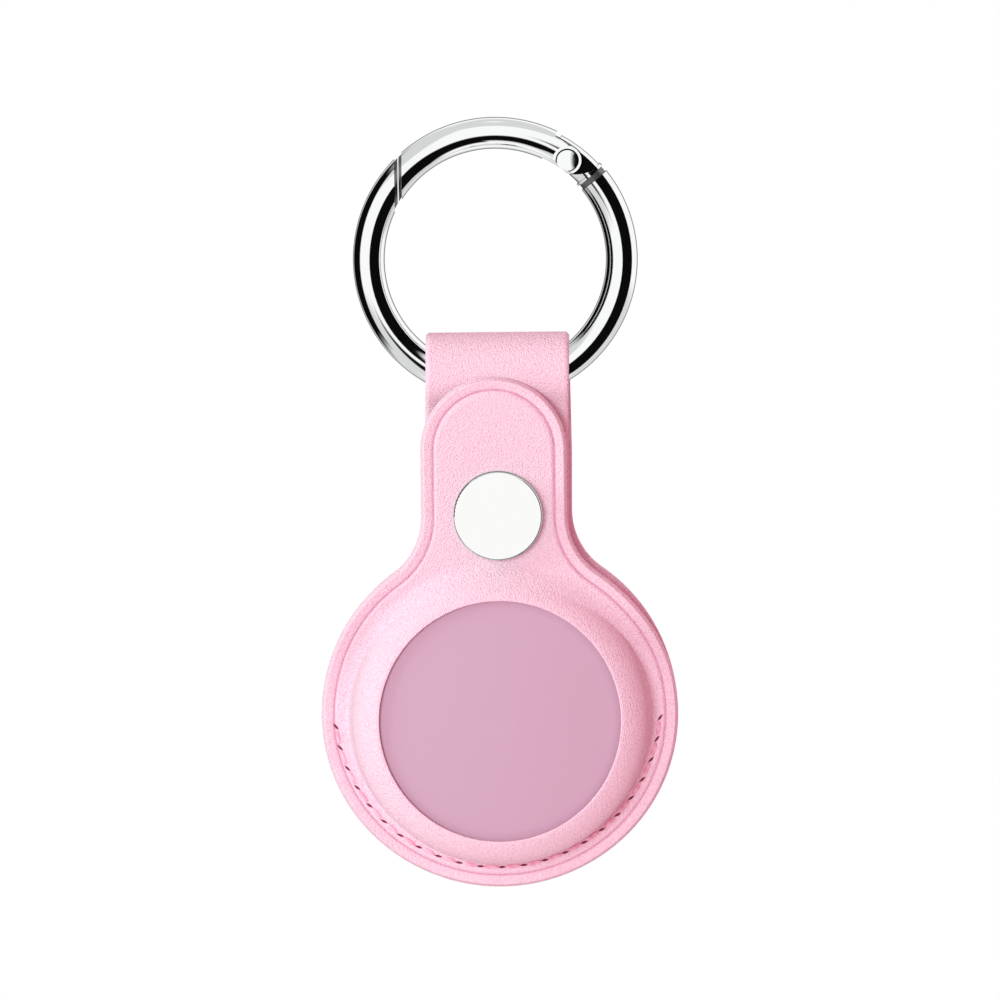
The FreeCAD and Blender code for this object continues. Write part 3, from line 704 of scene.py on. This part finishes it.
# Studio and camera, in metres and degrees
pitch = math.radians(5.7)
lean = math.radians(0.59)
distance = 1.6
sensor_mm = 36.0
near_clip = 0.05
photo_px = 1000
px_mm = 0.113
middle_px = (4.7, -241)  # the picture's middle, right of the ring's centre and up from it
floor_r = 0.24
floor_z = -0.3
fibre_mm = 10 / 9
ambient = (0.62, 0.27, 0.33, 1.0)  # warmed by the leather's own bounce
lamp_aim = (0, 0, -0.04)

# Each lamp's place, width, watts and colour
lamps = {
    "front": ((-0.32, -1.3, 0.1), 0.5, 11.9, (0.74, 1.0, 0.99)),
    "left": ((-1.09, -0.26, 0.4), 0.8, 9.2, (0.52, 1.0, 0.9)),
    "back": ((0.5, 1.2, 0.5), 0.6, 10.0, (0.8, 1.0, 0.96)),
}

# Dark cards that the metal mirrors: each one's edges round to the right from the front and up from level, both
# with half the width of the soft edge, and how dark it is
all_round = (-200, 200, 5)
cards = {
    "right": ((4.5, 80, 2), (-62, 60, 5), 1.0),
    "low": ((-26, 30, 5), (-52, -14, 4), 1.0),
    "left": ((-136, -66, 4), (-42, 42, 8), 1.0),
    "top": (all_round, (56, 86, 4), 0.3),
    "upper_left": ((-150, -26, 5), (26, 70, 5), 0.3),
    "ground": (all_round, (-60, -18, 5), 0.28),
}
right_slope = 0.75  # how the right card's top edge rises to the right
right_top = (-200, 6, 4)
# The card behind the holder: cosines of the angle from the line of sight at its soft edge, and how dark it is
behind_cosines = (0.6807, 0.8203)
behind_dark = 0.75
darkest = 0.997


def sky():
    # The metal sees white walls with dark cards, and the leather an even soft light. The picture's ground is
    # white.
    world = bpy.data.worlds.new("studio")
    bpy.context.scene.world = world
    world.use_nodes = True
    tree = world.node_tree
    tree.nodes.clear()
    out = add(tree, "ShaderNodeOutputWorld")
    way = add(tree, "ShaderNodeTexCoord").outputs["Generated"]
    path = add(tree, "ShaderNodeLightPath")
    part = add(tree, "ShaderNodeSeparateXYZ", {"Vector": way})

    def sums(operation, first, second):
        return add(tree, "ShaderNodeMath", {0: first, 1: second}, operation=operation).outputs[0]

    def rising(value, low, high):
        span = {"Value": value, "From Min": low, "From Max": high}
        return add(tree, "ShaderNodeMapRange", span, interpolation_type="SMOOTHSTEP").outputs["Result"]

    def between(angle, low, high, soft):
        edges = [rising(angle, math.radians(edge - soft), math.radians(edge + soft)) for edge in (low, high)]
        return sums("SUBTRACT", *edges)

    def background(colour, strength):
        return add(tree, "ShaderNodeBackground", {"Color": colour, "Strength": strength}).outputs[0]

    def chosen(ray, otherwise, then):
        shaders = {"Fac": path.outputs[ray], 1: otherwise, 2: then}
        return add(tree, "ShaderNodeMixShader", shaders).outputs[0]

    azimuth = sums("ARCTAN2", part.outputs["X"], sums("MULTIPLY", part.outputs["Y"], -1.0))
    level = add(tree, "ShaderNodeMath", {0: part.outputs["Z"]}, operation="ARCSINE").outputs[0]
    sight = (0, math.cos(pitch), -math.sin(pitch))
    ahead = add(tree, "ShaderNodeVectorMath", {0: way, 1: sight}, operation="DOT_PRODUCT").outputs["Value"]
    shade = sums("MULTIPLY", rising(ahead, *behind_cosines), behind_dark)
    for name, (sides, heights, dark) in cards.items():
        card = sums("MULTIPLY", between(azimuth, *sides), between(level, *heights))
        if name == "right":
            tilted = sums("SUBTRACT", level, sums("MULTIPLY", azimuth, right_slope))
            card = sums("MULTIPLY", card, between(tilted, *right_top))
        shade = sums("MAXIMUM", shade, sums("MULTIPLY", card, dark))
    mirrored = background(linear("#FFFFFF"), sums("SUBTRACT", 1.0, sums("MULTIPLY", shade, darkest)))
    lit = chosen("Is Glossy Ray", background(ambient, 1.0), mirrored)
    seen = chosen("Is Camera Ray", lit, background(linear("#FFFFFF"), 1.0))
    tree.links.new(seen, out.inputs["Surface"])


def floor():
    # A pale round floor of matt paper below the hanging holder.
    bpy.ops.object.select_all(action="DESELECT")
    place = (0, 0, floor_z)
    bpy.ops.mesh.primitive_circle_add(vertices=96, radius=floor_r, fill_type="NGON", location=place)
    ground = bpy.context.object
    ground.name = "floor"
    bpy.ops.object.transform_apply(location=True)
    material, tree, shader = new_material("matt_white_paper", Roughness=0.9)
    coloured(tree, shader, mixed(tree, grain(tree, fibre_mm), "#F4F4F4", "#FAFAFA"))
    ground.data.materials.append(material)
    ground.visible_glossy = False


def lamp(name, place, size, power, colour):
    # A round soft lamp that faces the holder and doesn't show in the metal.
    light = bpy.data.lights.new(name, "AREA")
    light.color = colour
    light.shape = "DISK"
    light.size = size
    light.energy = power
    holder = bpy.data.objects.new(name, light)
    bpy.context.scene.collection.objects.link(holder)
    holder.visible_glossy = False
    holder.location = place
    holder.rotation_euler = (Vector(lamp_aim) - Vector(place)).to_track_quat("-Z", "Y").to_euler()


def photographer():
    # A long lens, a little above the holder, with the lean of the photograph.
    lens = bpy.data.cameras.new("camera")
    lens.sensor_width = sensor_mm
    lens.lens = sensor_mm * distance / (photo_px * px_mm * MM)
    lens.clip_start = near_clip
    camera = bpy.data.objects.new("camera", lens)
    bpy.context.scene.collection.objects.link(camera)
    bpy.context.scene.camera = camera
    back_axis = Vector((0, -math.cos(pitch), math.sin(pitch)))
    right_axis = Vector((1, 0, 0))
    up_axis = back_axis.cross(right_axis)
    roll = Matrix.Rotation(lean, 3, -back_axis)
    right_axis, up_axis = roll @ right_axis, roll @ up_axis
    centre = (right_axis * middle_px[0] + up_axis * middle_px[1]) * (px_mm * MM)
    facing = Matrix((right_axis, up_axis, back_axis)).transposed().to_4x4()
    camera.matrix_world = Matrix.Translation(centre + back_axis * distance) @ facing


sky()
floor()
for name, settings in lamps.items():
    lamp(name, *settings)
photographer()

bpy.context.scene.view_settings.view_transform = "Standard"
